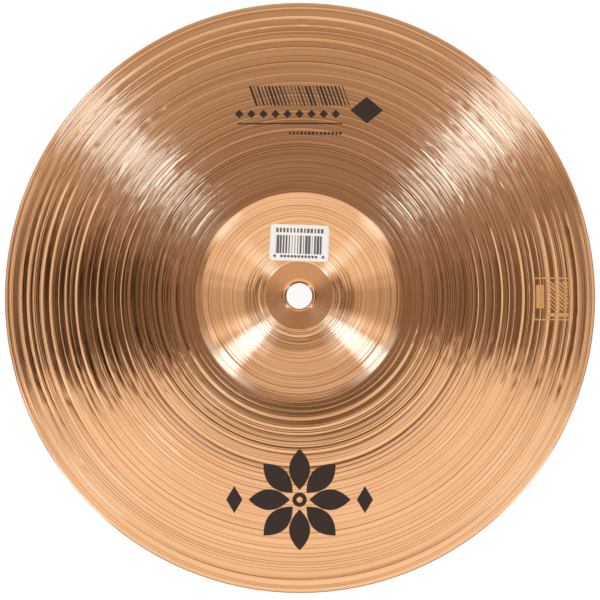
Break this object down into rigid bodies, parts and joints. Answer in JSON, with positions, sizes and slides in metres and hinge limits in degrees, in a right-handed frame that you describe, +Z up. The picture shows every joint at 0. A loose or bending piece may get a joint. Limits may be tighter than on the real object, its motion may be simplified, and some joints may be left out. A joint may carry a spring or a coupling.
{
  "type": "cymbal stack",
  "caption": "Stacked pair of nested bronze cymbals with domed bells, lathed bows and one centre hole for a stand's rod, struck for a short dry crash.",
  "frame": {"origin": "on the table, at the centre of the circle on which the rims stand", "axes": "+Z up along the axis of the hole; +Y from the hole towards the stock label on the bell; +X to the right as the label is read"},
  "size_m": [0.3048, 0.3048, 0.0288],
  "materials": {
    "cast_bronze": "lathed, clear lacquer, satin sheen",
    "label_paper": "matte coated paper"
  },
  "bodies": {
    "bottom_cymbal": {"bottom_cymbal": "cast_bronze"},
    "top_cymbal": {"top_cymbal": "cast_bronze", "stock_label": "label_paper"}
  },
  "joints": [
    {"name": "top_cymbal_lift", "type": "slide", "parent": "bottom_cymbal", "child": "top_cymbal", "axis": [0, 0, 1], "range_m": [0, 0.06]}
  ]
}
